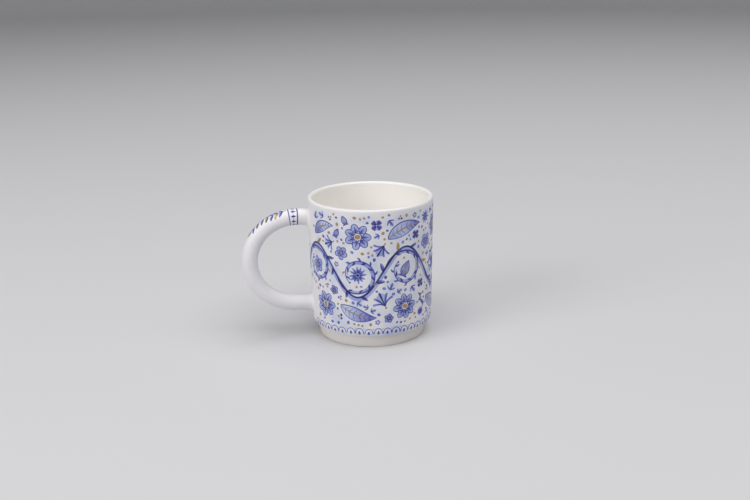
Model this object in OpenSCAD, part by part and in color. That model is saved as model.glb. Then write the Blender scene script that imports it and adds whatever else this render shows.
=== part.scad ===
// Porcelain mug: a slightly tapered body on a set-back foot ring, with a round C-shaped handle.
// The body is turned about Z, it stands on z = 0, and the handle reaches out along -X.
// Millimetres and degrees.

/* [Body] */
// Diameter over the rim
rim_d = 80; // [70:0.5:95]
// Diameter of the wall just above the rounded shoulder
waist_d = 77.4; // [66:0.2:94]
// Height from the table to the top of the lip
mug_h = 90; // [80:0.5:120]
// Thickness of the half-round lip
lip_t = 3; // [2.4:0.1:4]
// Thickness of the wall just above the inside corner
wall_t = 3.8; // [3:0.1:5]
// Thickness of the floor
floor_t = 5; // [3.5:0.1:8]
// Radius of the inside corner between wall and floor
well_r = 8; // [4:0.5:14]

/* [Shoulder and foot] */
// Radius of the rounded shoulder at the bottom of the wall
shoulder_r = 6; // [4:0.2:9]
// How far the shoulder draws in before it ends in the lower edge
shoulder_in = 1.6; // [0.8:0.1:3]
// Rounding of the body's lower edge
edge_r = 0.4; // [0.2:0.1:0.8]
// Height of the body's lower edge above the table
edge_z = 8; // [5:0.25:11]
// Diameter of the foot ring where it leaves the body
foot_top_d = 70.8; // [58:0.2:72]
// Diameter of the foot ring just above the table
foot_d = 68; // [54:0.2:70]
// Width of the foot ring just above the table
ring_w = 4.5; // [3:0.1:7]
// Rounding of the foot ring's two lower edges
ring_r = 0.6; // [0.3:0.1:1]
// Depth of the hollow under the base
recess_h = 4; // [3:0.25:6]
// Draft of the hollow's side
recess_draft = 8; // [2:1:15]
// Radius of the corner between the hollow's side and its ceiling
recess_r = 2; // [1:0.25:3]

/* [Handle] */
// Diameter of the handle's round section
handle_d = 10.4; // [8:0.2:14]
// How far the handle stands out from the rim
handle_out = 43.4; // [36:0.2:52]
// Height of the centre line at the top of the bow
handle_top = 78.5; // [70:0.5:82]
// Height of the centre line at the bottom of the bow
handle_low = 21.7; // [19:0.1:30]
// Depth of the half-round bow, along X, on the centre line
bow_depth = 29.7; // [20:0.1:34]
// How far the upper arm falls from the bow to the wall
upper_fall = 0.7; // [0:0.1:3]
// How far the lower arm falls from the bow to the wall
lower_fall = 1.2; // [0:0.1:2]

/* [Blends from handle to wall] */
// Spread along the wall above the upper joint
upper_over = 0.9; // [0.5:0.1:2]
// Spread along the wall below the upper joint
upper_under = 6; // [1:0.25:9]
// Reach along the arm above the upper joint
upper_over_reach = 1; // [0.5:0.1:3]
// Reach along the arm below the upper joint
upper_under_reach = 3; // [1:0.1:4]
// Spread along the wall above the lower joint
lower_over = 2.5; // [1:0.1:5]
// Spread along the wall below the lower joint
lower_under = 1.5; // [0.5:0.1:1.6]
// Reach along the arm above the lower joint
lower_over_reach = 4; // [1:0.1:4.5]
// Reach along the arm below the lower joint
lower_under_reach = 1.8; // [0.5:0.1:3]

/* [Hidden] */
$fn = 144;
porcelain = [0.95, 0.94, 0.93];

// How far a chord of the body's section may stray from its arc
SAG = 0.008;
// Handle mesh: points round the section, and steps along a blend and along the bow
SIDES = 32;
BLEND_STEPS = 6;
BOW_STEPS = 36;
// A blend ends this far under the wall's surface, so that it cuts the wall cleanly
SINK = 0.15;
// Plain stretch of arm between the end of a blend and the ring that follows it
ARM_GAP = 1.2;

// Centres of the discs that round the profile: lip, shoulder, lower edge and inside corner
lip_r = lip_t / 2;
lip_c = [rim_d / 2 - lip_r, mug_h - lip_r];
edge_c = [waist_d / 2 - shoulder_in - edge_r, edge_z + edge_r];
shoulder_x = waist_d / 2 - shoulder_r;
shoulder_drop = sqrt(pow(shoulder_r - edge_r, 2) - pow(edge_c.x - shoulder_x, 2));
shoulder_c = [shoulder_x, edge_c.y + shoulder_drop];
floor_z = recess_h + floor_t;
well_c = [waist_d / 2 - wall_t - well_r, floor_z + well_r];

// Centres of the foot ring's two lower edges, and of the corner inside the ring
ring_out_c = [foot_d / 2 - ring_r, ring_r];
ring_in_c = [foot_d / 2 - ring_w + ring_r, ring_r];
recess_side = foot_d / 2 - ring_w;
recess_c = [recess_side - recess_h * tan(recess_draft) - recess_r, recess_h - recess_r];

// Directions that the profile's straight sides face, all in the X-Z half plane
wall_face = facing(lip_c, lip_r, shoulder_c, shoulder_r);
inner_face = facing(lip_c, -lip_r, well_c, well_r);
foot_face = facing([foot_top_d / 2, edge_z], 0, ring_out_c, ring_r);
recess_face = facing(recess_c, recess_r, ring_in_c, -ring_r);
edge_face = -atan2(shoulder_drop, edge_c.x - shoulder_x);

// The handle's bow is half an ellipse about this centre, as distance from the axis and height
bow_c = [rim_d / 2 + handle_out - handle_d / 2 - bow_depth, (handle_top + handle_low) / 2];
bow_half = (handle_top - handle_low) / 2;
// A joint: its height at the wall, its sign (1 for the upper, -1 for the lower), fall and blend sizes
upper = [handle_top - upper_fall, 1, upper_fall,
         upper_over, upper_under, upper_over_reach, upper_under_reach];
lower = [handle_low - lower_fall, -1, lower_fall,
         lower_over, lower_under, lower_over_reach, lower_under_reach];

// Unit vector at an angle
function dir(a) = [cos(a), sin(a)];

// Direction faced by the straight side that touches disc c1 above and disc c2 below, on their right.
// A negative radius is a disc that lies on the other side of the line.
function facing(c1, r1, c2, r2) =
    let (d = c1 - c2)
    atan2(d.y, d.x) - acos((r2 - r1) / norm(d));

// Outer radius of the body at height z: the straight wall, or the shoulder's arc below it
function wall_at(z) =
    z > shoulder_c.y + shoulder_r * sin(wall_face)
    ? (shoulder_c * dir(wall_face) + shoulder_r - z * sin(wall_face)) / cos(wall_face)
    : shoulder_c.x + sqrt(pow(shoulder_r, 2) - pow(z - shoulder_c.y, 2));

// Where an arm runs, as a share of its length: 0 at the bow, 1 at the wall
function arm_share(joint, r) = (bow_c.x - r) / (bow_c.x - wall_at(joint[0]));

// Height of an arm's centre line at distance r from the axis
function arm_z(joint, r) = joint[0] + joint[2] * (1 - pow(arm_share(joint, r), 2));

// A blend size at angle t round the section, between its values over and under the joint
function round_the_joint(joint, t, over, under) =
    let (rise = joint[1] * cos(t))
    under + (over - under) * (1 + rise) / 2;

// One ring of a joint's blend. Between a = 0, on the tube, and a = 90, just under the wall,
// each line of the tube follows a quarter ellipse. deep sinks the whole ring into the wall.
function blend_ring(joint, a, deep) = [
    for (i = [0:SIDES - 1])
        let (
            t = 360 * i / SIDES,
            spread = round_the_joint(joint, t, joint[3], joint[4]),
            reach = round_the_joint(joint, t, joint[5], joint[6]),
            gap = (reach + SINK) * (1 - sin(a)) - SINK,
            rho = handle_d / 2 + spread * (1 - cos(a)),
            y = rho * sin(t),
            z = arm_z(joint, wall_at(joint[0]) + gap) + joint[1] * rho * cos(t)
        )
        [deep + -gap - sqrt(pow(wall_at(z), 2) - y * y), y, z]
];

// One plain ring of the tube about a centre-line point p = [distance from the axis, height],
// square to the path, which runs in direction d from the upper joint to the lower
function tube_ring(p, d) = [
    for (i = [0:SIDES - 1])
        let (
            t = 360 * i / SIDES,
            u = handle_d / 2 * cos(t) / norm(d)
        )
        [-p.x + u * d.y, handle_d / 2 * sin(t), p.y + u * d.x]
];

// The plain ring of an arm that follows the end of its blend
function arm_ring(joint) =
    let (
        r = wall_at(joint[0]) + max(joint[5], joint[6]) + ARM_GAP,
        slope = 2 * joint[2] * arm_share(joint, r) / (bow_c.x - wall_at(joint[0]))
    )
    tube_ring([r, arm_z(joint, r)], [joint[1], joint[1] * slope]);

function bow_ring(a) =
    tube_ring(
        [bow_c.x + bow_depth * cos(a), bow_c.y + bow_half * sin(a)],
        [bow_depth * sin(a), -bow_half * cos(a)]
    );

// Points of an arc about c, from direction a0 to a1, close enough that the chords stay true to SAG.
// skip leaves out that many points at the start.
function arc(c, r, a0, a1, skip = 0) =
    let (n = ceil(abs(a1 - a0) / (2 * acos(1 - SAG / r))))
    [for (i = [skip:n]) c + r * dir(a0 + (a1 - a0) * i / n)];

// Half section of the body: the hollow under the base, the foot ring, the lower edge,
// the shoulder, the lip, and the inside corner down to the flat floor
profile = concat(
    [[0, recess_h]],
    arc(recess_c, recess_r, 90, recess_face),
    arc(ring_in_c, ring_r, 180 + recess_face, 270),
    arc(ring_out_c, ring_r, -90, foot_face),
    [[foot_top_d / 2, edge_z]],
    arc(edge_c, edge_r, -90, edge_face),
    arc(shoulder_c, shoulder_r, edge_face, wall_face, skip = 1),
    arc(lip_c, lip_r, wall_face, 180 + inner_face),
    arc(well_c, well_r, inner_face, -90),
    [[0, floor_z]]
);

// The turned body
module turned_body() {
    rotate_extrude()
        polygon(profile);
}

// The handle with its blends: one tube swept from inside the wall at the upper joint,
// out along the arm, round the bow and back into the wall at the lower joint
module swept_handle() {
    root = lip_t / 2;
    blend_at = [for (i = [0:BLEND_STEPS]) 90 * i / BLEND_STEPS];
    rings = concat(
        [blend_ring(upper, 90, root)],
        [for (i = [BLEND_STEPS:-1:0]) blend_ring(upper, blend_at[i], 0)],
        [arm_ring(upper)],
        [for (i = [0:BOW_STEPS]) bow_ring(90 - 180 * i / BOW_STEPS)],
        [arm_ring(lower)],
        [for (a = blend_at) blend_ring(lower, a, 0)],
        [blend_ring(lower, 90, root)]
    );
    last = len(rings) - 1;
    caps = [for (ring = [rings[0], rings[last]]) (ring[0] + ring[SIDES / 2]) / 2];
    points = concat([for (ring = rings) each ring], caps);
    faces = [
        for (j = [0:SIDES - 1])
            let (k = (j + 1) % SIDES)
            each concat(
                [[len(points) - 2, j, k]],
                [for (i = [0:last - 1]) [i * SIDES + j, (i + 1) * SIDES + j, (i + 1) * SIDES + k]],
                [for (i = [0:last - 1]) [i * SIDES + j, (i + 1) * SIDES + k, i * SIDES + k]],
                [[len(points) - 1, last * SIDES + k, last * SIDES + j]]
            )
    ];
    polyhedron(points, faces, convexity = 4);
}

// The whole mug, cast in one piece
module mug() {
    color(porcelain)
        union() {
            turned_body();
            swept_handle();
        }
}

mug();
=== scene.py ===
"""Porcelain mug, painted by hand in cobalt blue and gold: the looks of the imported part.

Shapes are worked out in millimetres about the mug's axis, with the handle towards -X, and written
in metres. The painting is made of brush strokes in four layers, which the points of the mesh keep
as marks. The glaze's material turns the marks into paint.
"""

import math

import bpy
import numpy as np
from mathutils import Matrix, Vector


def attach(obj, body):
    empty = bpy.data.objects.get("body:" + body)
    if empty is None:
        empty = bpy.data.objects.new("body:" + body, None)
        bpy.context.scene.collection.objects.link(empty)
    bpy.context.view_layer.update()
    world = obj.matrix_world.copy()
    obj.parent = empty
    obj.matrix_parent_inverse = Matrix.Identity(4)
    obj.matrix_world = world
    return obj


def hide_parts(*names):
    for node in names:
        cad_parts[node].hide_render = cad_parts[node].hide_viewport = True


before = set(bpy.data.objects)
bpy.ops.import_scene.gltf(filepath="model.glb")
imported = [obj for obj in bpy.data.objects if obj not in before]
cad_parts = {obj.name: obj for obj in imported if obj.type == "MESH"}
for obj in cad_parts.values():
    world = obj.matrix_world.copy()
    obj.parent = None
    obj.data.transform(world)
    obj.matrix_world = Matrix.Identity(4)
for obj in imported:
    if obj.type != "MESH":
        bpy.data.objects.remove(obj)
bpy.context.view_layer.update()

MM = 0.001

# Body, shoulder and foot, as the part's source has them
RIM_D = 80.0
WAIST_D = 77.4
MUG_H = 90.0
LIP_T = 3.0
WALL_T = 3.8
FLOOR_T = 5.0
WELL_R = 8.0
SHOULDER_R = 6.0
SHOULDER_IN = 1.6
EDGE_R = 0.4
EDGE_Z = 8.0
FOOT_TOP_D = 70.8
FOOT_D = 68.0
RING_W = 4.5
RING_R = 0.6
RECESS_H = 4.0
RECESS_DRAFT = math.radians(8)
RECESS_R = 2.0
# Radius of the glaze that fills the corner between the body and its foot
CREASE_R = 0.35
# Height up to which the foot ring is bare, and over how much of it the glaze thins out
BARE_Z = 0.55
BARE_FADE = 0.35

# Handle: section, bow and centre lines of the two arms
HANDLE_R = 5.2
HANDLE_OUT = 43.4
HANDLE_TOP = 78.5
HANDLE_LOW = 21.7
BOW_DEPTH = 29.7
BOW_HALF = (HANDLE_TOP - HANDLE_LOW) / 2
BOW_C = np.array([RIM_D / 2 + HANDLE_OUT - HANDLE_R - BOW_DEPTH, (HANDLE_TOP + HANDLE_LOW) / 2])
# Plain stretch of arm between a blend and the first ring of the tube
ARM_GAP = 1.2

# Points round the mug: on the painted wall, on the foot, and inside
AROUND = 480
AROUND_FOOT = 240
AROUND_INSIDE = 120
WALL_ROWS = 136
SHOULDER_ROWS = 9
LIP_STEPS = 16
# Points round the handle, and the side of the square of wall cells that each joint takes the place
# of. The squares lie so many rows under the top of the wall and over its bottom.
AROUND_HANDLE = 80
HOLE = 40
HOLE_UNDER_TOP = 5
HOLE_OVER_BOTTOM = 1
PATCH_RINGS = 4
BLEND_RINGS = 10
# Spacing of the handle's rings where it is painted and where it is plain, and the painted length
FINE_STEP = 0.52
PLAIN_STEP = 1.5
PAINTED_ARM = 36.0


def unit(a):
    """Unit vector (cos a, sin a)."""
    return np.array([math.cos(a), math.sin(a)])


def facing(c1, r1, c2, r2):
    """Direction faced by the straight side that touches disc 1 above and disc 2 below.

    It is the direction from c2 to c1, less acos((r2 - r1) / distance). A disc beyond the side has
    a negative radius.
    """
    d = c1 - c2
    return math.atan2(d[1], d[0]) - math.acos((r2 - r1) / np.linalg.norm(d))


def arc(centre, radius, a0, a1, steps):
    """Points centre + radius (cos a, sin a), with a running evenly from a0 to a1."""
    a = np.linspace(a0, a1, steps + 1)
    return centre + radius * np.stack([np.cos(a), np.sin(a)], -1)


def straight(p, q, steps):
    """Points inside the line from p to q, without its ends, closer towards them: a cosine share."""
    s = (1 - np.cos(np.pi * np.arange(1, steps) / steps)) / 2
    return p + s[:, None] * (q - p)


# Discs that round the half section, as (distance from the axis, height)
LIP_R = LIP_T / 2
LIP_C = np.array([RIM_D / 2 - LIP_R, MUG_H - LIP_R])
EDGE_C = np.array([WAIST_D / 2 - SHOULDER_IN - EDGE_R, EDGE_Z + EDGE_R])
SHOULDER_X = WAIST_D / 2 - SHOULDER_R
SHOULDER_DROP = math.sqrt((SHOULDER_R - EDGE_R) ** 2 - (EDGE_C[0] - SHOULDER_X) ** 2)
SHOULDER_C = np.array([SHOULDER_X, EDGE_C[1] + SHOULDER_DROP])
FLOOR_Z = RECESS_H + FLOOR_T
WELL_C = np.array([WAIST_D / 2 - WALL_T - WELL_R, FLOOR_Z + WELL_R])
RING_OUT_C = np.array([FOOT_D / 2 - RING_R, RING_R])
RING_IN_C = np.array([FOOT_D / 2 - RING_W + RING_R, RING_R])
RECESS_X = FOOT_D / 2 - RING_W - RECESS_H * math.tan(RECESS_DRAFT)
RECESS_C = np.array([RECESS_X - RECESS_R, RECESS_H - RECESS_R])

WALL_FACE = facing(LIP_C, LIP_R, SHOULDER_C, SHOULDER_R)
INNER_FACE = facing(LIP_C, -LIP_R, WELL_C, WELL_R)
FOOT_FACE = facing(np.array([FOOT_TOP_D / 2, EDGE_Z]), 0, RING_OUT_C, RING_R)
RECESS_FACE = facing(RECESS_C, RECESS_R, RING_IN_C, -RING_R)
EDGE_FACE = -math.atan2(SHOULDER_DROP, EDGE_C[0] - SHOULDER_X)

WALL_HIGH = LIP_C[1] + LIP_R * math.sin(WALL_FACE)
WALL_LOW = SHOULDER_C[1] + SHOULDER_R * math.sin(WALL_FACE)
WALL_STEP = (WALL_HIGH - WALL_LOW) / WALL_ROWS
# Distances of the shoulder's rows from the wall, from the lowest up
SHOULDER_ARC = (
    SHOULDER_R * (WALL_FACE - EDGE_FACE) * np.arange(SHOULDER_ROWS, 0, -1) / SHOULDER_ROWS
)
# Distance round the wall at mid height
GIRTH = math.pi * (RIM_D + WAIST_D) / 2


def wall_radius(z):
    """Radius of the outside at height z: a straight line, and below it the shoulder's circle."""
    z = np.asarray(z, float)
    line = SHOULDER_C @ unit(WALL_FACE) + SHOULDER_R - z * math.sin(WALL_FACE)
    circle = SHOULDER_C[0] + np.sqrt(np.maximum(SHOULDER_R**2 - (z - SHOULDER_C[1]) ** 2, 0))
    return np.where(z > WALL_LOW, line / math.cos(WALL_FACE), circle)


LAYERS = ("wash", "mid", "dark", "gold")
# What each point of the mesh keeps. For each layer: the way to the middle of the nearest stroke,
# across and up, with the half width there; the distance to the nearest edge; and the load. Then
# how far it is inside, on the foot and unglazed, and how much the brush's water has tinted it.
MARK_SIZES = {}
for layer in LAYERS:
    MARK_SIZES |= {f"{layer}_near": 3, f"{layer}_edge": 1, f"{layer}_load": 1}
MARK_SIZES |= {"inside": 1, "foot": 1, "bare": 1, "film": 1}
MARKS = sum(MARK_SIZES.values())
# Distance kept where no stroke is near, a layer's marks there, and the edge's place among them
FAR = 4.0
BARE_LAYER = [FAR, 0.0, 0.0, FAR, 0.0]
EDGE = 3


def plain(inside=0.0, foot=0.0, bare=0.0):
    """Marks of a point without paint."""
    return np.array(BARE_LAYER * len(LAYERS) + [inside, foot, bare, 0.0])


class Shell:
    """One closed mesh, gathered ring by ring. A ring is a closed row of point numbers."""

    def __init__(self):
        self.points = []
        self.marks = []
        self.quads = []
        self.triangles = []
        self.count = 0

    def add(self, xyz, marks):
        """Adds points with their marks, a row of numbers each, and returns the points' numbers."""
        n = len(xyz)
        self.points.append(xyz)
        self.marks.append(np.broadcast_to(marks, (n, MARKS)))
        self.count += n
        return np.arange(self.count - n, self.count)

    def turn(self, r, z, n, marks):
        """Adds a ring of n points on the circle of radius r at height z, from +X to the left."""
        a = 2 * np.pi * np.arange(n) / n
        return self.add(np.stack([r * np.cos(a), r * np.sin(a), np.full(n, z)], -1), marks)

    def join(self, a, b, leave=None):
        """Faces between two rings of equal count, of twice the count, or of half the count.

        An equal pair gives the quads a i, b i, b i+1, a i+1, without those at the places in leave.
        Otherwise three triangles fill each place of the ring with fewer points.
        """
        a1, b1 = np.roll(a, -1), np.roll(b, -1)
        if len(a) == len(b):
            quads = np.stack([a, b, b1, a1], -1)
            self.quads.append(quads if leave is None else np.delete(quads, leave, 0))
            return
        if len(a) > len(b):
            mid = a[1::2]
            corners = (a[::2], b, mid), (mid, b, b1), (mid, b1, a1[1::2])
        else:
            mid = b[1::2]
            corners = (a, b[::2], mid), (a, mid, a1), (a1, mid, b1[1::2])
        self.triangles += [np.stack(t, -1) for t in corners]

    def close(self, ring, pole, above):
        """A fan of triangles between a ring and one point, which comes first if above is true."""
        n = np.roll(ring, -1)
        p = np.full(len(ring), pole[0])
        self.triangles.append(np.stack([p, ring, n] if above else [ring, p, n], -1))

    def mesh(self, name):
        """The finished mesh in metres, without the points that no face uses, smooth all over."""
        parts = self.points, self.marks, self.quads, self.triangles
        points, marks, quads, triangles = map(np.concatenate, parts)
        used = np.unique(np.concatenate([quads.ravel(), triangles.ravel()]))
        number = np.zeros(len(points), int)
        number[used] = np.arange(len(used))
        made = bpy.data.meshes.new(name)
        faces = number[quads].tolist() + number[triangles].tolist()
        made.from_pydata(points[used] * MM, [], faces)
        column = 0
        for mark, size in MARK_SIZES.items():
            kind, slot = ("FLOAT_VECTOR", "vector") if size == 3 else ("FLOAT", "value")
            values = np.ascontiguousarray(marks[used, column : column + size], np.float32)
            made.attributes.new(mark, kind, "POINT").data.foreach_set(slot, values.ravel())
            column += size
        made.polygons.foreach_set("use_smooth", np.ones(len(made.polygons), bool))
        made.update()
        return made


# The painting

WALL_SEED = 11
HANDLE_SEED = 5
# How far round a stroke the canvas is filled in, and how many capsules of it are painted at once
REACH = 2.0
CHAIN = 16

# The main stem
WAVES = 4
STEM_MID = 50.0
STEM_SWAY = 15.5
# A branch at each crest: its start, middle, least radius and turn in degrees, and its blossom
BRANCH_BEFORE = 13.2
SCROLL_IN = 14.3
SCROLL_R = 7.2
SCROLL_TURN = 395
BLOSSOM_R = 5.4
BLOSSOM_ROOM = 5.8
# The rosette opposite it
ROSETTE_OUT = 23.3
ROSETTE_R = 8.3
ROSETTE_ROOM = 8.6
# The broad leaf outside it, with its half length and half width by the handle and elsewhere
LEAF_BASE = 21.5
LEAF_TIP = 28.8
LEAF_BEND = 3.0
SHORT_LEAF = (8.5, 3.4)
LONG_LEAF = (11.5, 4.3)
# Sideways move of both next to the handle
BESIDE_HANDLE = 6.9
# Unpainted circles round the handle's joints: place round the wall, height, radius
CLEAR_ROUND_JOINTS = [(u, v, 7.3) for v in (19.8, 30.8, 69.7, 80.7) for u in (-5.0, 5.0)]
# The ground's tint
FILM_TOP = 88.4
LIP_FADE = 5
JOINT_FADE = 6
# The border over the shoulder
LAPPETS = 42
LAPPET_Z = 10.2
LAPPET_RISE = 3.6
BORDER_GAP = 10
# Tendrils: how many are tried, between which heights, and their shape
TENDRILS = 120
TENDRIL_START = (18, 82)
TENDRIL_STAY = (17, 85)
TENDRIL_STEP = 0.8
TENDRIL_LEAST = 14
TENDRIL_WAVE = 17
TENDRIL_SWING = 50
# Lowest edge of the small motifs
SMALL_LOW = 15.2
# On the handle, from its first ring on: a band's two lines and lozenges, and the stem's pulls
BAND_LINES = {"dark": 3.2, "mid": 8.2}
LOZENGES = 10
LOZENGE = (4.5, 5.7, 6.9)
HANDLE_STEM = ([1.0, 9.5], [4.0, 16], [-2.5, 22], [0.5, 31])


def curve(*pulls, n):
    """Bezier curve of n points, by repeated shares of the lines between its pulls."""
    t = np.linspace(0, 1, n)[:, None]
    level = [np.asarray(p, float) * np.ones_like(t) for p in pulls]
    while len(level) > 1:
        level = [a + t * (b - a) for a, b in zip(level, level[1:])]
    return level[0]


def press(n, start, middle, end):
    """Half widths of a stroke pressed down in its middle: a sine hump over tapering ends."""
    s = np.linspace(0, 1, n)
    return start * (1 - s) ** 2 + end * s**2 + middle * np.sin(np.pi * s) ** 0.8


def turned(p, a):
    """Points turned about the origin by a degrees."""
    a = np.radians(a)
    p = np.asarray(p, float)
    c, s = np.cos(a), np.sin(a)
    return np.stack([p[..., 0] * c - p[..., 1] * s, p[..., 0] * s + p[..., 1] * c], -1)


def spoke(c, a, d, aside=0.0):
    """Places at distances d from c in the direction of a degrees, moved aside to its left."""
    d = np.asarray(d, float)
    return c + turned(np.stack([d, np.full_like(d, aside)], -1), a)


def between(at, known, pairs):
    """Pairs of numbers at some places, straight between those at the known places."""
    return np.stack([np.interp(at, known, pairs[:, i]) for i in (0, 1)], -1)


def stem_height(u):
    """Height of the main stem at a place round the wall: a sine, nought behind the handle."""
    return STEM_MID + STEM_SWAY * np.sin(2 * np.pi * WAVES * u / GIRTH)


class Canvas:
    """A painted surface unrolled: u across, which closes on itself, and v up, in millimetres."""

    def __init__(self, across, up, girth):
        self.across = across
        self.up = up
        self.girth = girth
        self.pitch = girth / across
        self.marks = np.tile(plain(), (len(up), across, 1))

    def stroke(self, layer, path, half, load=1.0):
        """A stroke: a chain of tapering capsules along a path, or several chains for a long one.

        The distance to a capsule is that to its middle line, less the half width there. Each place
        keeps what the nearest capsule of the nearest stroke gives it.
        """
        path = np.asarray(path, float)
        half, load = (np.broadcast_to(x, len(path)).astype(float) for x in (half, load))
        if len(path) > CHAIN + 1:
            for k in range(0, len(path) - 1, CHAIN):
                part = slice(k, k + CHAIN + 1)
                self.stroke(layer, path[part], half[part], load[part])
            return
        low = path.min(0) - half.max() - REACH
        high = path.max(0) + half.max() + REACH
        first = math.floor(low[0] / self.pitch)
        last = min(math.ceil(high[0] / self.pitch) + 1, first + self.across)
        columns = np.arange(first, last)
        rows = np.flatnonzero((self.up >= low[1]) & (self.up <= high[1]))
        if not len(rows):
            return
        place = np.stack(np.meshgrid(columns * self.pitch, self.up[rows]), -1)
        run = np.diff(path, axis=0)
        away = place[:, :, None] - path[:-1]
        share = np.clip((away * run).sum(-1) / ((run**2).sum(-1) + 1e-12), 0, 1)
        way = share[..., None] * run - away
        width = half[:-1] + share * np.diff(half)
        gap = np.linalg.norm(way, axis=-1) - width
        pigment = load[:-1] + share * np.diff(load)
        found = np.stack([way[..., 0], way[..., 1], width, gap, pigment], -1)
        near = gap.argmin(-1)[..., None, None]
        found = np.take_along_axis(found, near, -2)[..., 0, :]
        cells = np.ix_(rows, columns % self.across)
        start = len(BARE_LAYER) * LAYERS.index(layer)
        own = slice(start, start + len(BARE_LAYER))
        old = self.marks[cells][..., own]
        closer = found[..., EDGE] < old[..., EDGE]
        self.marks[(*cells, own)] = np.where(closer[..., None], found, old)

    def sample(self, u, v):
        """Marks at loose places, straight between the grid points round them."""
        column = np.asarray(u) / self.pitch
        row = np.interp(v, self.up, np.arange(len(self.up)))
        c0 = np.floor(column).astype(int)
        r0 = np.minimum(np.floor(row).astype(int), len(self.up) - 2)
        s, t = (column - c0)[:, None], (row - r0)[:, None]
        c0, c1 = c0 % self.across, (c0 + 1) % self.across
        low = self.marks[r0, c0] * (1 - s) + self.marks[r0, c1] * s
        high = self.marks[r0 + 1, c0] * (1 - s) + self.marks[r0 + 1, c1] * s
        return low * (1 - t) + high * t


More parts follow.
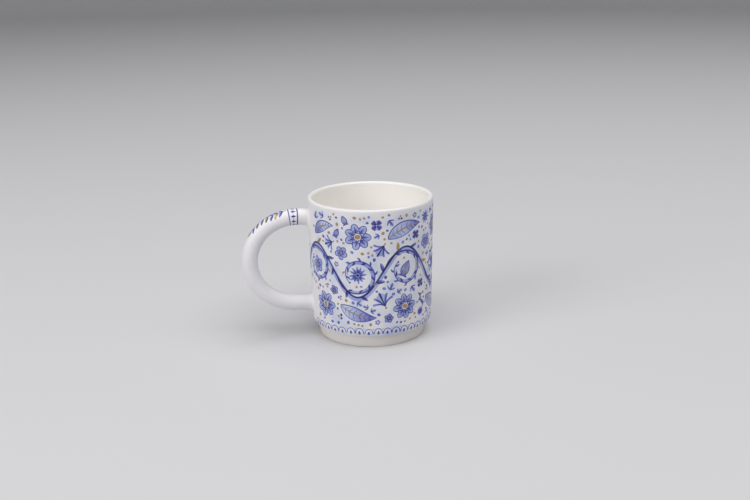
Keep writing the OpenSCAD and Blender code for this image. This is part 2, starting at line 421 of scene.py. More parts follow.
class Painter:
    """Paints motifs by hand: each stroke wanders a little, and motifs keep clear of taken circles.

    In a motif of radius r about c, lengths are shares of r, or millimetres for a fine brush's half
    width. The last numbers of a stroke are its half widths and its loads of pigment.
    """

    def __init__(self, canvas, seed):
        self.canvas = canvas
        self.stroke = canvas.stroke
        self.chance = np.random.default_rng(seed)
        self.taken = []

    def wander(self, n, size):
        """Smooth drift along n points: random steps at every seventh, joined by straight lines."""
        knots = self.chance.normal(0, size, (max(3, n // 7), 2))
        return between(np.linspace(0, len(knots) - 1, n), np.arange(len(knots)), knots)

    def line(self, layer, path, half, load, shake):
        """A stroke along a path with a hand's drift."""
        self.stroke(layer, path + self.wander(len(path), shake), half, load)

    def dot(self, layer, centre, radius, load=1.0):
        """A dot pressed with the brush's tip, a little longer one way."""
        d = turned([0.22 * radius, 0], self.chance.uniform(0, 360))
        self.stroke(layer, [centre - d, centre + d], 0.88 * radius, load)

    def clearance(self, places):
        """Distance from a place, or each of several, to the edge of the nearest taken circle."""
        places = np.asarray(places, float)
        circles = np.array(self.taken)
        across = places[..., None, 0] - circles[:, 0]
        across = (across + self.canvas.girth / 2) % self.canvas.girth - self.canvas.girth / 2
        up = places[..., None, 1] - circles[:, 1]
        return (np.hypot(across, up) - circles[:, 2]).min(-1)

    def spot(self, radius, low, high, gap, tries=900):
        """Of random places with room for a circle, the closest to its neighbours, or None."""
        start, end = [0, low + radius], [self.canvas.girth, high - radius]
        places = self.chance.uniform(start, end, (tries, 2))
        room = self.clearance(places) - radius
        room[room < gap] = math.inf
        best = room.argmin()
        if room[best] == math.inf:
            return None
        self.taken.append((*places[best], radius))
        return places[best]

    def leaf(self, root, tip, width, bend, layer="mid"):
        """A small leaf pressed down in its middle, with a dark hollow side if it is blue."""
        side = turned(tip - root, 90) / np.linalg.norm(tip - root)
        spine = curve(root, (root + tip) / 2 + bend * side, tip, n=9)
        self.stroke(layer, spine, press(9, 0.16, width, 0.1), np.linspace(1.0, 0.45, 9))
        if layer == "mid":
            hump = np.sin(np.linspace(0, np.pi, 9))[:, None]
            edge = spine - 0.55 * width * np.sign(bend) * hump * side
            self.stroke("dark", edge, press(9, 0.1, 0.28 * width, 0.08), 0.75)

    def broad_leaf(self, base, tip, width, bend):
        """A long pointed leaf of pale wash, with rims, side veins and a gold midrib.

        Its half width is the sine of half a turn times the share of its length to the power 0.8.
        """
        run = tip - base
        side = turned(run, 90) / np.linalg.norm(run)
        spine = curve(base, *(base + q * run + bend * side for q in (0.3, 0.7)), tip, n=26)
        s = np.linspace(0, 1, 26)
        shape = width * np.sin(np.pi * s**0.8)
        tangent = np.gradient(spine, axis=0)
        tangent /= np.linalg.norm(tangent, axis=1)[:, None]
        normal = turned(tangent, 90)
        self.stroke("wash", spine, 0.15 + 0.95 * shape, 0.5 + 0.3 * np.sin(5 * s + base[0]))
        for hand, layer, half in ((1, "dark", 0.22), (-1, "mid", 0.12)):
            rim = spine + hand * normal * shape[:, None]
            self.line(layer, rim, press(26, 0.15, half, 0.12), 0.85, 0.06)
        for i in np.linspace(4, 20, 6).round().astype(int):
            for hand in (-1, 1):
                root = spine[i] + 0.5 * hand * normal[i]
                end = spine[i] + 0.72 * hand * shape[i] * normal[i] + 1.5 * tangent[i]
                self.stroke("mid", [root, end], [0.24, 0.13], 0.6)
        self.line("gold", spine[1:22], press(21, 0.16, 0.38, 0.1), 1.0, 0.05)
        self.taken += [(*spine[i], shape[i] + 0.5) for i in range(1, 26, 2)]

    def round_blossom(self, c, r):
        """Five round petals of wash, each with a thin rim and a dark dash, about a gold heart."""
        spin = self.chance.uniform(0, 72)
        for k in range(5):
            a = spin + 72 * k + self.chance.uniform(-5, 5)
            root, middle = spoke(c, a, [0.2 * r, 0.62 * r])
            self.stroke("wash", [root, middle], [0.16 * r, 0.34 * r], [0.9, 0.45])
            rim = spoke(middle, a + np.linspace(-125, 125, 16), 0.36 * r)
            self.line("mid", rim, press(16, 0.16, 0.14, 0.16), 1.0, 0.02 * r)
            self.stroke("dark", spoke(c, a, [0.3 * r, 0.6 * r]), [0.3, 0.14], 0.8)
        self.dot("gold", c, 0.2 * r)

    def star_blossom(self, c, r):
        """Many narrow petals about a dark heart, over a pale pool."""
        self.dot("wash", c, 0.62 * r, 0.4)
        n = int(self.chance.integers(9, 13))
        spin = self.chance.uniform(0, 40)
        for k in range(n):
            a = spin + 360 * (k + self.chance.uniform(-0.15, 0.15)) / n
            q = r * self.chance.uniform(0.88, 1.05)
            petal = [spoke(c, a + lean, d) for lean, d in ((0, 0.28 * r), (3, 0.7 * q), (5, q))]
            self.stroke("mid", petal, [0.2, 0.11 * r + 0.1, 0.12], [1.0, 0.5, 0.85])
        self.dot("dark", c, 0.17 * r)

    def cross_blossom(self, c, r):
        """Four heart-shaped petals, each of two strokes from the middle, with gold dots between."""
        spin = self.chance.uniform(0, 90)
        for a in spin + 90 * np.arange(4):
            self.stroke("wash", spoke(c, a, [0.4 * r, 0.7 * r]), 0.3 * r, 0.6)
            for hand in (-1, 1):
                lobe = [spoke(c, a, 0.14 * r), spoke(c, a, 0.76 * r, hand * 0.24 * r)]
                self.stroke("mid", lobe, [0.16, 0.21 * r], [1.1, 0.6])
            self.dot("gold", spoke(c, a + 45, 0.66 * r), 0.11 * r + 0.1)

    def bud(self, c, r):
        """A drop-shaped bud with a rim and a sepal on each side, and gold dots up its middle."""
        a = self.chance.uniform(60, 120)
        foot, tip = spoke(c, a, [-0.85 * r, r])
        body = [spoke(c, a, -0.35 * r), c, tip]
        self.stroke("wash", body, [0.4 * r, 0.52 * r, 0.15], [0.8, 0.5, 0.8])
        for hand in (-1, 1):
            w = turned([0, 0.8 * hand * r], a)
            low = spoke(c, a, -0.6 * r) + w
            high = spoke(c, a, 0.4 * r) + 0.8 * w
            rim = curve(foot, low, high, tip, n=14)
            self.line("mid", rim, press(14, 0.2, 0.16, 0.14), 1.2, 0.04)
            end = spoke(foot + 0.8 * w, a, -0.1 * r)
            self.leaf(foot, end, 0.08 * r + 0.15, -0.12 * r * hand)
        for q in (-0.4, -0.02, 0.34):
            self.dot("gold", spoke(c, a, q * r), (0.13 - 0.07 * q) * r)

    def sprig(self, c, r):
        """Three small leaves from one root, over a pale pool."""
        a = self.chance.uniform(0, 360)
        root = spoke(c, a, -0.8 * r)
        self.stroke("wash", spoke(c, a, [-0.2 * r, 0.4 * r]), [0.25 * r, 0.55 * r], 0.35)
        for lean, length in ((-50, 1.4), (0, 1.9), (50, 1.4)):
            tip = spoke(root, a + lean, length * r)
            path = curve(root, spoke(0.5 * (root + tip), a, 0, 0.002 * lean * r), tip, n=8)
            half = press(8, 0.12, 0.12 * r + 0.1, 0.1)
            self.stroke("mid", path, half, np.linspace(0.9, 0.55, 8))

    def rosette(self, c, r):
        """A broad open blossom: pale petals with thin rims and a dark hair, dots, a gold heart."""
        n = int(self.chance.integers(7, 9))
        spin = self.chance.uniform(0, 60)
        w = 0.62 * math.pi * r / n
        for k in range(n):
            a = spin + 360 * k / n + self.chance.uniform(-4, 4)
            root, middle, tip = spoke(c, a, [0.36 * r, 0.72 * r, r])
            self.stroke("wash", [root, middle], [0.35 * w, 0.85 * w], [1.0, 0.4])
            for hand in (-1, 1):
                side = turned([0, hand * w], a)
                wide = 0.5 * (root + tip) + 1.7 * side
                rim = curve(root, root + 0.7 * side, wide, tip + 0.6 * side, tip, n=14)
                self.line("mid", rim, press(14, 0.15, 0.14, 0.16), 1.2, 0.04)
            self.stroke("dark", spoke(c, a, [0.46 * r, 0.8 * r]), [0.34, 0.14], 0.8)
            self.dot("dark", spoke(c, a + 180 / n, 0.3 * r), 0.04 * r + 0.12, 0.9)
        self.dot("gold", c, 0.2 * r)

    def palmette(self, c, r):
        """A fan of five petals that bend outwards, even on both sides, over a gold dot."""
        a = self.chance.uniform(0, 360)
        root = spoke(c, a, -0.7 * r)
        self.stroke("wash", [root, spoke(c, a, 0.3 * r)], [0.1 * r, 0.7 * r], 0.4)
        for b in (-2, -1, 0, 1, 2):
            long = r * (1.75 - 0.18 * abs(b))
            middle, tip = spoke(root, a + 16 * b, 0.55 * long), spoke(root, a + 30 * b, long)
            path = curve(root, middle, tip, n=9)
            half = np.linspace(0.14, 0.11 * r + 0.18, 9)
            self.stroke("dark" if b == 0 else "mid", path, half, np.linspace(1.0, 0.6, 9))
        self.dot("gold", spoke(root, a, -0.24 * r), 0.1 * r + 0.2)

    def berries(self, c, r):
        """Three round berries close together, one of them gold."""
        a = self.chance.uniform(0, 360)
        for k, layer in enumerate(("gold", "mid", "dark")):
            self.dot(layer, spoke(c, a + 120 * k, 0.5 * r), 0.34 * r, 0.75)

    def dot_blossom(self, c, r):
        """Five round petals, each one dot, about a gold heart."""
        spin = self.chance.uniform(0, 72)
        for k in range(5):
            petal = spoke(c, spin + 72 * k, 0.62 * r)
            self.dot("mid", petal, 0.27 * r, self.chance.uniform(0.6, 1.1))
        self.dot("gold", c, 0.2 * r)

    def vine(self):
        """The main stem, a sine wave over a broad pale shadow, with leaves on both sides of it."""
        u = np.linspace(0, GIRTH, AROUND)
        path = np.stack([u, stem_height(u)], -1)
        self.stroke("wash", path - [0, 1.1], 1.5, 0.42)
        self.stroke("dark", path, 0.52 + 0.12 * np.sin(0.4 * u), 0.66)
        self.stroke("mid", path - [0, 0.45], 0.2)
        self.taken += [(*p, 1.3) for p in path[::3]]
        for k, i in enumerate(range(4, AROUND - 4, 9)):
            hand = 1 if k % 2 else -1
            ahead = (path[i + 1] - path[i - 1]) / np.linalg.norm(path[i + 1] - path[i - 1])
            out = hand * turned(ahead, 90)
            root = path[i] + 0.5 * out
            size = self.chance.uniform(0.85, 1.15)
            tip = root + size * (3.6 * out + 3.4 * ahead)
            middle = (root + tip) / 2
            if min(self.clearance(middle + 0.8 * out), self.clearance(tip)) > 0.4:
                self.leaf(root, tip, 0.95 * size, hand * -0.9, "gold" if k % 4 == 3 else "mid")
                self.taken.append((*middle, 2.3 * size))

    def scroll(self, start, c, hand):
        """A branch that winds from start round c, with leaves by turns on both sides.

        Its radius shrinks to SCROLL_R by the share of the turn to the power 0.85.
        """
        away = start - c
        reach = np.linalg.norm(away)
        s = np.linspace(0, 1, 90)
        bearing = math.degrees(math.atan2(away[1], away[0])) + hand * SCROLL_TURN * s
        out = turned([1.0, 0.0], bearing)
        path = c + out * (reach + (SCROLL_R - reach) * s**0.85)[:, None]
        self.stroke("wash", (path - 1.2 * out)[12:80], press(68, 0.3, 0.8, 0.3), 0.45)
        self.line("mid", path, np.linspace(0.5, 0.24, 90), np.linspace(1.2, 0.75, 90), 0.05)
        walked = 0.0
        side = 1
        for i in range(8, 84):
            ahead = path[i + 1] - path[i]
            walked += np.linalg.norm(ahead)
            if walked < 3.0:
                continue
            walked = 0.0
            side = -side
            if side > 0 and s[i] < 0.32:
                continue
            ahead /= np.linalg.norm(ahead)
            root = path[i] + 0.3 * side * out[i]
            tip = root + 1.75 * side * out[i] + 2.3 * ahead
            layer = "gold" if self.chance.random() < 0.22 else "mid"
            self.leaf(root, tip, 0.5, -0.6 * side * hand, layer)
        self.dot("dark", path[-1], 0.6, 0.9)
        self.taken += [(*p, 2.7) for p in path[::3]]

    def tendril(self, start, heading, length, swing):
        """A winding stem with leaves by turns left and right, and a gold dot at its end.

        Its heading swings as a sine of the length, and it ends where another motif is near.
        """
        s = np.arange(int(length / TENDRIL_STEP)) * TENDRIL_STEP
        sway = swing * np.sin(2 * np.pi * s / TENDRIL_WAVE)
        h = np.radians(heading + sway + 1.6 * s * np.sign(swing))
        ahead = np.stack([np.cos(h), np.sin(h)], -1)
        path = np.asarray(start) + np.cumsum(TENDRIL_STEP * ahead, axis=0)
        low, high = TENDRIL_STAY
        blocked = (self.clearance(path) < 1.3) | (path[:, 1] < low) | (path[:, 1] > high)
        n = int(blocked.argmax()) if blocked.any() else len(path)
        if n < TENDRIL_LEAST:
            return
        self.stroke("wash", path[:n] + [0.5, -0.6], press(n, 0.3, 0.7, 0.3), 0.45)
        self.line("mid", path[:n], np.linspace(0.4, 0.22, n), np.linspace(1.1, 0.7, n), 0.05)
        side = 1
        for i in range(2, n - 1, 3):
            out = side * turned(ahead[i], 90)
            tip = path[i] + 2.2 * out + 1.6 * ahead[i]
            if self.clearance(tip) > 0.5:
                self.leaf(path[i] + 0.3 * out, tip, 0.55, -0.5 * side)
            side = -side
        self.dot("gold", path[n - 1] + 0.8 * ahead[n - 1], 0.6)
        self.taken += [(*p, 1.7) for p in path[:n:2]]

    def film(self):
        """Tint of the ground: full on the painted wall, fading evenly to the lip and the joints."""
        u = np.arange(self.canvas.across) * self.canvas.pitch
        places = np.stack(np.meshgrid(u, self.canvas.up), -1)
        by_joints = np.clip(self.clearance(places) / JOINT_FADE, 0, 1)
        return by_joints * np.clip((FILM_TOP - places[..., 1]) / LIP_FADE, 0, 1)

    def border(self):
        """Lappets over the shoulder: arches with a drop in each, and a gold dot between two."""
        pitch = self.canvas.girth / LAPPETS
        t = np.linspace(0, np.pi, 15)
        arch = np.stack([-0.44 * pitch * np.cos(t), LAPPET_RISE * np.sin(t) ** 0.8], -1)
        for k in range(LAPPETS):
            u = k * pitch
            if min(u, self.canvas.girth - u) < BORDER_GAP:
                continue
            c = np.array([u, LAPPET_Z]) + self.chance.uniform(-0.2, 0.2, 2)
            load = self.chance.uniform(0.75, 1.1)
            self.line("mid", c + arch, press(15, 0.2, 0.14, 0.2), load, 0.06)
            self.stroke("wash", [c + [0, 0.3], c + [0, 1.5]], [0.9, 0.5], [0.75, 0.4])
            self.stroke("dark", [c + [0, 0.5], c + [0.1, 1.9]], [0.42, 0.16], 0.8)
            self.dot("gold", c + [0.5 * pitch, 3.3], 0.42)


def paint_wall():
    """The painting round the body: a scrolling vine with blossoms, rosettes and broad leaves, and
    between them tendrils, small motifs and dots."""
    wall = WALL_LOW + WALL_STEP * np.arange(WALL_ROWS + 1)
    canvas = Canvas(AROUND, np.concatenate([WALL_LOW - SHOULDER_ARC, wall]), GIRTH)
    painter = Painter(canvas, WALL_SEED)
    chance = painter.chance
    painter.taken += CLEAR_ROUND_JOINTS
    canvas.marks[..., -1] = painter.film()
    painter.border()
    blossoms = (painter.round_blossom, painter.star_blossom, painter.cross_blossom, painter.bud)
    last = 2 * WAVES - 1
    crests = [((k + 0.5) * GIRTH / (last + 1), -1 if k % 2 else 1) for k in range(last + 1)]
    for k, (u, side) in enumerate(crests):
        c = np.array([u + chance.uniform(-0.5, 0.5), STEM_MID + side * (STEM_SWAY - SCROLL_IN)])
        start = np.array([u - BRANCH_BEFORE, stem_height(u - BRANCH_BEFORE)])
        painter.scroll(start, c, -side)
        blossoms[(0, 1, 3, 2)[k % 4]](c, BLOSSOM_R)
        painter.taken.append((*c, BLOSSOM_ROOM))
    painter.vine()
    for k, (u, side) in enumerate(crests):
        u += BESIDE_HANDLE * ((k == 0) - (k == last))
        c = np.array([u + chance.uniform(-0.8, 0.8), STEM_MID - side * ROSETTE_OUT])
        painter.rosette(c, ROSETTE_R)
        painter.taken.append((*c, ROSETTE_ROOM))
        half, width = SHORT_LEAF if k in (0, last) else LONG_LEAF
        base = np.array([u - half, STEM_MID + side * LEAF_BASE])
        tip = np.array([u + half, STEM_MID + side * LEAF_TIP])
        painter.broad_leaf(base, tip, width, side * LEAF_BEND)
    for _ in range(TENDRILS):
        start = [chance.uniform(0, GIRTH), chance.uniform(*TENDRIL_START)]
        if painter.clearance(start) > 1.8:
            heading, length = chance.uniform(0, 360), chance.uniform(12, 26)
            painter.tendril(start, heading, length, chance.choice([-1, 1]) * TENDRIL_SWING)
    # Motifs, their share of a circle, its radii, how many are tried, the band's top, the least gap
    large = (*blossoms, painter.palmette), 0.86, (6.0, 5.0, 4.2, 3.5), (4, 6, 12, 16), 87, 0.7
    sprays = painter.sprig, painter.berries, painter.dot_blossom
    small = sprays, 0.95, (2.7, 2.1), (22, 34), 87.3, 0.5
    for motifs, share, radii, counts, top, gap in (large, small):
        for r in np.repeat(radii, counts):
            c = painter.spot(r, SMALL_LOW, top, gap)
            if c is not None:
                motifs[chance.integers(0, len(motifs))](c, share * r)
    for r in np.repeat((1.4, 1.0), (110, 200)):
        c = painter.spot(r, SMALL_LOW - 0.6, 87.8, 0.4, tries=60)
        if c is not None:
            layer = chance.choice(["gold", "mid", "wash"], p=[0.46, 0.32, 0.22])
            painter.dot(layer, c, 0.6 * r + 0.16, chance.uniform(0.5, 1.0))
    return canvas


def paint_handle(rows):
    """The handle's painting: a band of lozenges by the upper joint, then paired leaves on top."""
    canvas = Canvas(AROUND_HANDLE, rows, 2 * math.pi * HANDLE_R)
    painter = Painter(canvas, HANDLE_SEED)
    half_round = np.linspace(0, canvas.girth / 2, 20)
    for layer, v in BAND_LINES.items():
        for u in (0, canvas.girth / 2):
            canvas.stroke(layer, np.stack([u + half_round, np.full(20, v)], -1), 0.3, 0.9)
    for u in canvas.girth * np.arange(LOZENGES) / LOZENGES:
        canvas.stroke("dark", [[u, v] for v in LOZENGE], [0.2, 0.75, 0.2], 0.8)
        painter.dot("gold", np.array([u + canvas.girth / (2 * LOZENGES), LOZENGE[1]]), 0.42)
    stem = curve(*HANDLE_STEM, n=30)
    painter.line("mid", stem, press(30, 0.25, 0.12, 0.25), 1.0, 0.08)
    for i in range(2, 28, 4):
        layer = "gold" if (i // 4) % 2 else "mid"
        for hand in (-1, 1):
            root = stem[i] + [0.4 * hand, 0.3]
            painter.leaf(root, root + [3.3 * hand, 2.6], 0.75, 0.7 * hand, layer)
    painter.leaf(stem[-1], stem[-1] + [0.3, 4.0], 0.9, 0.3, "gold")
    return canvas


# The mug's mesh


class Joint:
    """Where an arm of the handle meets the wall: side 1 for the upper arm, -1 for the lower.

    At the wall the arm's middle line lies under its level end by its fall. The blend's spread
    along the wall and its reach along the arm are given for over the arm and for under it.
    """

    def __init__(self, level, side, fall, spread, reach):
        self.z = level - fall
        self.side = side
        self.fall = fall
        self.spread = spread
        self.reach = reach
        self.start = float(wall_radius(self.z))

    def round(self, sizes, t):
        """A size at angle t of the section: from under the arm to over it by (1 + cosine) / 2."""
        over, under = sizes
        return under + (over - under) * (1 + self.side * np.cos(t)) / 2

    def centre(self, r):
        """Height of the arm's middle line at distance r from the axis: that at the wall, and the
        fall times 1 less the square of the share still to go."""
        share = (BOW_C[0] - r) / (BOW_C[0] - self.start)
        return self.z + self.fall * (1 - share**2)

    def ring(self, a, n):
        """Points round the joint. Each line of them is a quarter ellipse, from a = 0 on the tube
        to 90 degrees on the wall."""
        t = 2 * np.pi * np.arange(n) / n
        gap = self.round(self.reach, t) * (1 - math.sin(a))
        rho = HANDLE_R + self.round(self.spread, t) * (1 - math.cos(a))
        y = -rho * np.sin(t)
        z = self.centre(self.start + gap) + self.side * rho * np.cos(t)
        return np.stack([-gap - np.sqrt(wall_radius(z) ** 2 - y**2), y, z], -1)


UPPER = Joint(HANDLE_TOP, side=1, fall=0.7, spread=(0.9, 6.0), reach=(1.0, 3.0))
LOWER = Joint(HANDLE_LOW, side=-1, fall=1.2, spread=(2.5, 1.5), reach=(4.0, 1.8))


def handle_path():
    """Middle line of the handle between its blends, two arms and half an ellipse: the distance
    along it, the place and the direction of each ring."""
    arms = []
    for joint in (UPPER, LOWER):
        r = np.linspace(joint.start + max(joint.reach) + ARM_GAP, BOW_C[0], 60)
        arms.append(np.stack([r, joint.centre(r)], -1))
    a = np.linspace(np.pi / 2, -np.pi / 2, 600)[1:-1]
    bow = BOW_C + np.stack([BOW_DEPTH * np.cos(a), BOW_HALF * np.sin(a)], -1)
    path = np.concatenate([arms[0], bow, arms[1][::-1]])
    length = np.concatenate([[0], np.cumsum(np.linalg.norm(np.diff(path, axis=0), axis=1))])
    fine = np.arange(0, PAINTED_ARM, FINE_STEP)
    rest = np.linspace(PAINTED_ARM, length[-1], round((length[-1] - PAINTED_ARM) / PLAIN_STEP))
    at = np.concatenate([fine, rest])
    direction = between(at, length, np.gradient(path, length, axis=0))
    direction /= np.linalg.norm(direction, axis=1)[:, None]
    return at, between(at, length, path), direction


def rim_of_hole(grid, low, side):
    """Wall points round a square of cells whose lowest row is low, from the handle's outer side
    towards -Y. Columns and rows are a triangle wave with its tips cut off, a quarter apart."""
    k = np.arange(4 * HOLE)
    half = HOLE // 2
    column = np.clip(HOLE - np.abs((k + HOLE) % (4 * HOLE) - 2 * HOLE), -half, half)
    row = np.clip(HOLE - np.abs(k - 2 * HOLE), -half, half)
    return grid[low + half - side * row, AROUND // 2 + column]


def patch(shell, canvas, joint, rim):
    """Rings on the wall from a hole's rim to the end of the joint's blend, by even shares of angle
    and height."""
    xyz = np.concatenate(shell.points)[rim]
    goal = joint.ring(math.pi / 2, len(rim))
    rings = [rim]
    for k in range(1, PATCH_RINGS + 1):
        s = k / PATCH_RINGS
        angle = (1 - s) * (np.arctan2(xyz[:, 1], xyz[:, 0]) % (2 * np.pi))
        angle += s * (np.arctan2(goal[:, 1], goal[:, 0]) % (2 * np.pi))
        z = (1 - s) * xyz[:, 2] + s * goal[:, 2]
        r = wall_radius(z)
        marks = canvas.sample((angle - np.pi) * GIRTH / (2 * np.pi), z)
        rings.append(shell.add(np.stack([r * np.cos(angle), r * np.sin(angle), z], -1), marks))
    return rings


def foot_marks(z):
    """Marks under the body: the foot's glaze, and bare porcelain where the ring stands."""
    return plain(foot=1.0, bare=float(np.clip((BARE_Z - z) / BARE_FADE, 0, 1)))


def make_mug():
    """The whole mug as one closed mesh: its half section turned round the axis, and the handle's
    tube joined in. The last number of an arc or a straight is its count of steps."""
    shell = Shell()
    canvas = paint_wall()
    middle = AROUND // 2
    painted = np.roll(canvas.marks, middle, axis=1)
    inside = plain(inside=1)

    # Inside: floor, corner and wall, from the middle outwards and up
    pole = shell.add(np.array([[0, 0, FLOOR_Z]]), inside)
    section = np.concatenate([
        straight(np.array([0, FLOOR_Z]), WELL_C - [0, WELL_R], 9),
        arc(WELL_C, WELL_R, -np.pi / 2, INNER_FACE, 12),
        straight(WELL_C + WELL_R * unit(INNER_FACE), LIP_C - LIP_R * unit(INNER_FACE), 10),
    ])
    rings = [shell.turn(r, z, AROUND_INSIDE, inside) for r, z in section]
    shell.close(rings[0], pole, True)
    # Lip: over the half round from inside to outside
    top = LIP_STEPS // 2
    for k, (r, z) in enumerate(arc(LIP_C, LIP_R, np.pi + INNER_FACE, WALL_FACE, LIP_STEPS)[:-1]):
        n = AROUND_FOOT if k < top else AROUND
        rings.append(shell.turn(r, z, n, plain(inside=max(0.0, 1 - k / top))))
    # Painted wall and shoulder, from the top down
    z = canvas.up[SHOULDER_ROWS:]
    a = EDGE_FACE + (WALL_FACE - EDGE_FACE) * np.arange(SHOULDER_ROWS) / SHOULDER_ROWS
    heights = np.concatenate([SHOULDER_C[1] + SHOULDER_R * np.sin(a), z])
    radii = np.concatenate([SHOULDER_C[0] + SHOULDER_R * np.cos(a), wall_radius(z)])
    grid = np.array([shell.turn(r, h, AROUND, m) for r, h, m in zip(radii, heights, painted)])
    # Lower edge, crease, foot ring, and the hollow in to its middle
    crease_x = FOOT_TOP_D / 2 + CREASE_R * (1 + math.sin(FOOT_FACE)) / math.cos(FOOT_FACE)
    crease_c = np.array([crease_x, EDGE_Z - CREASE_R])
    edge = arc(EDGE_C, EDGE_R, EDGE_FACE, -np.pi / 2, 5)[1:]
    ledge = np.array([[EDGE_C[0] - 0.25, EDGE_Z], [crease_x + 0.1, EDGE_Z]])
    crease = arc(crease_c, CREASE_R, np.pi / 2, FOOT_FACE + np.pi, 5)
    side_top = crease[-1] + 0.15 * unit(FOOT_FACE - np.pi / 2)
    foot = np.concatenate([
        ledge, crease, [side_top], straight(side_top, RING_OUT_C + RING_R * unit(FOOT_FACE), 5),
        arc(RING_OUT_C, RING_R, FOOT_FACE, -np.pi / 2, 6),
        straight(RING_OUT_C - [0, RING_R], RING_IN_C - [0, RING_R], 3),
    ])
    lean = unit(RECESS_FACE)
    hollow = np.concatenate([
        arc(RING_IN_C, RING_R, -np.pi / 2, -np.pi + RECESS_FACE, 5),
        straight(RING_IN_C - RING_R * lean, RECESS_C + RECESS_R * lean, 3),
        arc(RECESS_C, RECESS_R, RECESS_FACE, np.pi / 2, 6),
        straight(RECESS_C + [0, RECESS_R], np.array([0, RECESS_H]), 8),
    ])
    below = [shell.turn(r, z, AROUND, plain()) for r, z in edge]
    below += [shell.turn(r, z, AROUND_FOOT, foot_marks(z)) for r, z in foot]
    below += [shell.turn(r, z, AROUND_INSIDE, foot_marks(z)) for r, z in hollow]
    centre = shell.add(np.array([[0, 0, RECESS_H]]), foot_marks(RECESS_H))
    # Faces, without the squares of wall at the handle's joints
    first = len(rings)
    rings += list(grid[::-1]) + below
    holes = {UPPER: len(grid) - 1 - HOLE - HOLE_UNDER_TOP, LOWER: SHOULDER_ROWS + HOLE_OVER_BOTTOM}
    gap = np.arange(middle - HOLE // 2, middle + HOLE // 2)
    for k, (a, b) in enumerate(zip(rings, rings[1:])):
        row = first + len(grid) - 2 - k
        cut = k >= first and any(low <= row < low + HOLE for low in holes.values())
        shell.join(a, b, gap if cut else None)
    shell.close(rings[-1], centre, False)

    # Handle: a patch of wall and a blend at each joint, and the tube between them
    at, centres, directions = handle_path()
    t = 2 * np.pi * np.arange(AROUND_HANDLE) / AROUND_HANDLE
    u = HANDLE_R * np.cos(t)
    tube = []
    for p, d, marks in zip(centres, directions, paint_handle(at).marks):
        xyz = np.stack([-p[0] + u * d[1], -HANDLE_R * np.sin(t), p[1] + u * d[0]], -1)
        tube.append(shell.add(xyz, marks))
    ends = []
    for joint in (UPPER, LOWER):
        rings = patch(shell, canvas, joint, rim_of_hole(grid, holes[joint], joint.side))
        for k in range(1, BLEND_RINGS + 1):
            a = math.pi / 2 * (1 - k / BLEND_RINGS)
            rings.append(shell.add(joint.ring(a, AROUND_HANDLE), plain()))
        ends.append(rings)
    rings = ends[0] + tube + ends[1][::-1]
    for a, b in zip(rings, rings[1:]):
        shell.join(a, b)
    return shell.mesh("painted_mug")


# Materials


class Mixture:
    """A socket in a material's nodes. Arithmetic adds Math nodes, and node adds any node."""

    def __init__(self, tree, socket=None):
        self.tree = tree
        self.socket = socket

    def node(self, kind, settings=None, sockets=None, output=0):
        """Adds a node: its settings first, a ramp's stops among them, then its sockets."""
        made = self.tree.nodes.new(kind)
        for name, value in (settings or {}).items():
            if name == "stops":
                ramp = made.color_ramp.elements
                while len(ramp) < len(value):
                    ramp.new(0.5)
                for element, (position, colour) in zip(ramp, value):
                    element.position = position
                    element.color = (*colour, 1)
            else:
                setattr(made, name, value)
        for name, value in (sockets or {}).items():
            if isinstance(value, Mixture):
                self.tree.links.new(value.socket, made.inputs[name])
            else:
                made.inputs[name].default_value = value
        return Mixture(self.tree, None if output is None else made.outputs[output])

    def math(self, operation, *values):
        """A Math node of an operation on up to three values."""
        return self.node("ShaderNodeMath", {"operation": operation}, dict(enumerate(values)))

    def __add__(self, other):
        return self.math("ADD", self, other)

    def __mul__(self, other):
        return self.math("MULTIPLY", self, other)

    def __sub__(self, other):
        return self.math("SUBTRACT", self, other)

    def __rsub__(self, other):
        return self.math("SUBTRACT", other, self)

    __radd__ = __add__
    __rmul__ = __mul__

    def smooth(self, start, end):
        """0 at start, 1 at end, and an S curve between."""
        settings = {"interpolation_type": "SMOOTHSTEP"}
        sockets = {"Value": self, "From Min": start, "From Max": end}
        return self.node("ShaderNodeMapRange", settings, sockets)

    def blend(self, first, second):
        """A colour mixed from first to second by this value."""
        return self.node("ShaderNodeMix", {"data_type": "RGBA"}, {0: self, 6: first, 7: second}, 2)


def srgb(red, green, blue):
    """Linear colour of 8-bit sRGB values, v as shares of 255: ((v + 0.055) / 1.055) to the power
    2.4, or v / 12.92 for the darkest."""
    v = np.array([red, green, blue]) / 255
    return tuple(np.where(v > 0.04045, ((v + 0.055) / 1.055) ** 2.4, v / 12.92).tolist())


GLAZE_WHITE = srgb(230, 228, 230)
# Inside glaze: a cream tint, painted lighter and warmer than the outside glaze as painted light of
# the glow bounced round inside the cup
INSIDE_CREAM_AND_BOUNCE = srgb(252, 249, 245)
FOOT_CREAM = srgb(226, 222, 217)
BARE_PORCELAIN = srgb(226, 219, 208)
GOLD = srgb(176, 150, 108)
# Cobalt from the thinnest wash to the heaviest line, by the amount of pigment
FULL_PIGMENT = 2.4
COBALT = [
    (0.0, GLAZE_WHITE),
    (0.35 / FULL_PIGMENT, srgb(168, 182, 222)),
    (0.9 / FULL_PIGMENT, srgb(92, 100, 186)),
    (1.6 / FULL_PIGMENT, srgb(55, 50, 140)),
    (1.0, srgb(36, 28, 92)),
]
# Strength of each blue layer, and the softness of its edge in millimetres; the gold's softness
BLUES = {"wash": (0.9, 0.22), "mid": (1.0, 0.1), "dark": (1.9, 0.08)}
GOLD_SOFT = 0.08
# How much pigment gathers at a stroke's edge, and how far inside
POOL = 0.35
POOL_WIDTH = 0.35
# Slack of the edge distance: GUARD less the half width, or at least LEAST_GUARD. It keeps a third
# stroke from being drawn where the ways to the middles of two strokes cancel out.
GUARD = 0.38
LEAST_GUARD = 0.03
# Roughness of the glaze, and what is added for pigment, taken off for gold
GLAZE_ROUGH = 0.48
PIGMENT_ROUGH = 0.05
BARE_ROUGH = 0.3
GOLD_SMOOTH = 0.14
GOLD_METAL = 0.85
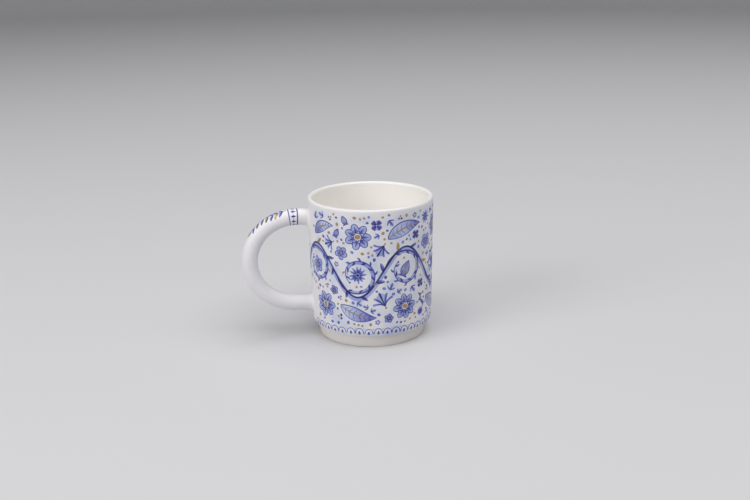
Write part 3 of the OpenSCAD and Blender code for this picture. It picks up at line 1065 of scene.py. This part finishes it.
# Strength of the glaze's bumps, and their height in metres
BUMP = 0.35
BUMP_HEIGHT = 0.0004


def painted_porcelain():
    """White satin glaze over the painting. Pigment adds up, gathers at the edges of strokes by an
    exponential of the distance inside, and lies unevenly by noise."""
    material = bpy.data.materials.new("painted_porcelain")
    material.use_nodes = True
    material.node_tree.nodes.clear()
    kit = Mixture(material.node_tree)
    place = kit.node("ShaderNodeTexCoord", output="Object")

    def mark(name, output="Fac"):
        """What the mesh's points keep under a name."""
        return kit.node("ShaderNodeAttribute", {"attribute_name": name}, output=output)

    def noise(scale, detail):
        """Cloudy noise about nought, with scale waves to a metre."""
        sockets = {"Vector": place, "Scale": scale, "Detail": detail, "Roughness": 0.5}
        return kit.node("ShaderNodeTexNoise", None, sockets) - 0.5

    def stroke_edge(layer):
        """Distance to a layer's nearest edge: the length of the way to the stroke's middle less
        its half width, or the edge distance less its slack where that is more."""
        near = mark(f"{layer}_near", "Vector")
        flat = kit.node("ShaderNodeVectorMath", {"operation": "MULTIPLY"}, {0: near, 1: (1, 1, 0)})
        middle = kit.node("ShaderNodeVectorMath", {"operation": "LENGTH"}, {0: flat}, "Value")
        half = kit.node("ShaderNodeSeparateXYZ", None, {"Vector": near}, "Z")
        slack = kit.math("MAXIMUM", GUARD - half, LEAST_GUARD)
        return kit.math("MAXIMUM", middle - half, mark(f"{layer}_edge") - slack)

    grain = noise(1500, 2)
    flow = noise(260, 2)
    drift = noise(45, 1)
    ragged = 0.12 * grain + 0.1 * flow

    pigment = mark("film") * (0.03 + 0.15 * noise(75, 2).smooth(-0.12, 0.22))
    for layer, (strength, soft) in BLUES.items():
        edge = stroke_edge(layer) + ragged
        cover = edge.smooth(soft, -soft)
        pool = kit.math("EXPONENT", kit.math("MINIMUM", edge, 0.0) * (1 / POOL_WIDTH))
        body = cover * mark(f"{layer}_load") * (strength + POOL * strength * pool)
        pigment = body + pigment
    uneven = 1 + 0.9 * flow + 0.35 * grain
    amount = pigment * uneven * (1 / FULL_PIGMENT)
    blue = kit.node("ShaderNodeValToRGB", {"stops": COBALT}, {"Fac": amount}, "Color")
    gold = (stroke_edge("gold") + 0.6 * ragged).smooth(GOLD_SOFT, -GOLD_SOFT)
    # Inside the cup the ground turns to the cream that is painted lighter for the light bounced
    # round the hollow
    cream_and_bounce = mark("inside").blend(blue, (*INSIDE_CREAM_AND_BOUNCE, 1))
    ground = mark("foot").blend(cream_and_bounce, (*FOOT_CREAM, 1))
    ground = mark("bare").blend(ground, (*BARE_PORCELAIN, 1))
    colour = gold.blend(ground, (*GOLD, 1))
    rough = GLAZE_ROUGH + PIGMENT_ROUGH * kit.math("MINIMUM", pigment, 1.0)
    rough = rough + BARE_ROUGH * mark("bare") - GOLD_SMOOTH * gold
    skin = drift * 0.6 + flow * 0.06 + gold * (0.05 + 0.12 * grain)
    bumps = {"Strength": BUMP, "Distance": BUMP_HEIGHT, "Height": skin}
    bump = kit.node("ShaderNodeBump", None, bumps)
    sockets = {
        "Base Color": colour,
        "Metallic": gold * GOLD_METAL,
        "Roughness": rough,
        "Normal": bump,
        "IOR": 1.5,
    }
    surface = kit.node("ShaderNodeBsdfPrincipled", None, sockets)
    kit.node("ShaderNodeOutputMaterial", None, {"Surface": surface}, None)
    return material


# The scene

# Floor and backdrop in metres: first ring, flat part, bend and top, and the points round them
FLOOR_FIRST = 1.0
FLOOR_FLAT = 3.0
FLOOR_BEND = 1.2
BACKDROP_TOP = 3.2
FLOOR_AROUND = 96
# Each lamp's place, size in metres, watts and colour, and where both are aimed
LAMPS = {
    "overhead_softbox": ((0.3, -0.5, 2.2), 2.8, 57, (1.0, 0.995, 0.99)),
    "left_softbox": ((-1.6, -0.85, 0.9), 1.0, 15, (1.0, 0.99, 0.98)),
}
LAMP_AIM = Vector((0, 0, 0.05))
AIR_COLOUR = (0.93, 0.95, 1.0, 1)
AIR_STRENGTH = 0.17
# The photograph's camera: a 50 mm lens, where it stands round the mug, and the shift of its frame
LENS = 50.4
CAMERA_AZIMUTH = math.radians(-9.7)
CAMERA_ELEVATION = math.radians(17.4)
CAMERA_ROLL = math.radians(0.916)
CAMERA_DISTANCE = 0.6793
CAMERA_AIM = Vector((0, 0, 0.045))
FRAME_WIDTH = 750
SHIFT = (3.72 / FRAME_WIDTH, 12.42 / FRAME_WIDTH)


def show(mesh, material):
    """An object of a mesh at the origin, in the scene, with its material."""
    made = bpy.data.objects.new(mesh.name, mesh)
    mesh.materials.append(material)
    bpy.context.scene.collection.objects.link(made)
    return made


def sweep_floor():
    """Floor and backdrop in one round sheet: a flat disc, a quarter circle up all round it, and a
    straight rise."""
    bend = arc(np.array([FLOOR_FLAT, FLOOR_BEND]), FLOOR_BEND, -np.pi / 2, 0, 24)
    top = [FLOOR_FLAT + FLOOR_BEND, BACKDROP_TOP]
    section = np.concatenate([[[FLOOR_FIRST, 0.0]], bend, [top]])
    turn = 2 * np.pi * np.arange(FLOOR_AROUND) / FLOOR_AROUND
    r, z = section[:, None, 0], section[:, None, 1] + 0 * turn
    points = np.stack([r * np.cos(turn), r * np.sin(turn), z], -1).reshape(-1, 3)
    rings = np.arange(len(points)).reshape(len(section), FLOOR_AROUND)
    ahead = np.roll(rings, -1, axis=1)
    faces = np.stack([rings[1:], ahead[1:], ahead[:-1], rings[:-1]], -1).reshape(-1, 4)
    mesh = bpy.data.meshes.new("studio_floor")
    mesh.from_pydata(points, [], [rings[0].tolist()] + faces.tolist())
    mesh.polygons.foreach_set("use_smooth", np.ones(len(mesh.polygons), bool))
    return mesh


def studio_grey():
    """Plain pale paint for the floor and backdrop."""
    material = bpy.data.materials.new("studio_grey")
    material.use_nodes = True
    surface = material.node_tree.nodes["Principled BSDF"]
    surface.inputs["Base Color"].default_value = (*srgb(206, 206, 208), 1)
    surface.inputs["Roughness"].default_value = 0.9
    surface.inputs["Specular IOR Level"].default_value = 0.2
    return material


def place_camera():
    """A camera that looks at the mug's middle from its azimuth and elevation, slightly rolled."""
    a, e, roll = CAMERA_AZIMUTH, CAMERA_ELEVATION, CAMERA_ROLL
    back = Vector((math.sin(a) * math.cos(e), -math.cos(a) * math.cos(e), math.sin(e)))
    level = Vector((math.cos(a), math.sin(a), 0))
    high = back.cross(level)
    right = level * math.cos(roll) - high * math.sin(roll)
    up = high * math.cos(roll) + level * math.sin(roll)
    data = bpy.data.cameras.new("studio_camera")
    data.lens = LENS
    data.shift_x, data.shift_y = SHIFT
    made = bpy.data.objects.new("studio_camera", data)
    turn = Matrix((right, up, back)).transposed()
    made.matrix_world = Matrix.Translation(CAMERA_AIM + back * CAMERA_DISTANCE) @ turn.to_4x4()
    bpy.context.scene.collection.objects.link(made)
    bpy.context.scene.camera = made


def light_studio():
    """Soft light: a wide square lamp overhead, a softbox in front on the left, and a weak world."""
    for name, (place, size, watts, colour) in LAMPS.items():
        data = bpy.data.lights.new(name, "AREA")
        data.size = size
        data.energy = watts
        data.color = colour
        made = bpy.data.objects.new(name, data)
        made.location = place
        made.rotation_euler = (LAMP_AIM - Vector(place)).to_track_quat("-Z", "Y").to_euler()
        bpy.context.scene.collection.objects.link(made)
    world = bpy.data.worlds.new("studio_air")
    bpy.context.scene.world = world
    world.use_nodes = True
    air = world.node_tree.nodes["Background"]
    air.inputs["Color"].default_value = AIR_COLOUR
    air.inputs["Strength"].default_value = AIR_STRENGTH


mug = show(make_mug(), painted_porcelain())
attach(mug, "root")
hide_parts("mug")

floor = show(sweep_floor(), studio_grey())
light_studio()
place_camera()
bpy.context.scene.view_settings.view_transform = "Standard"
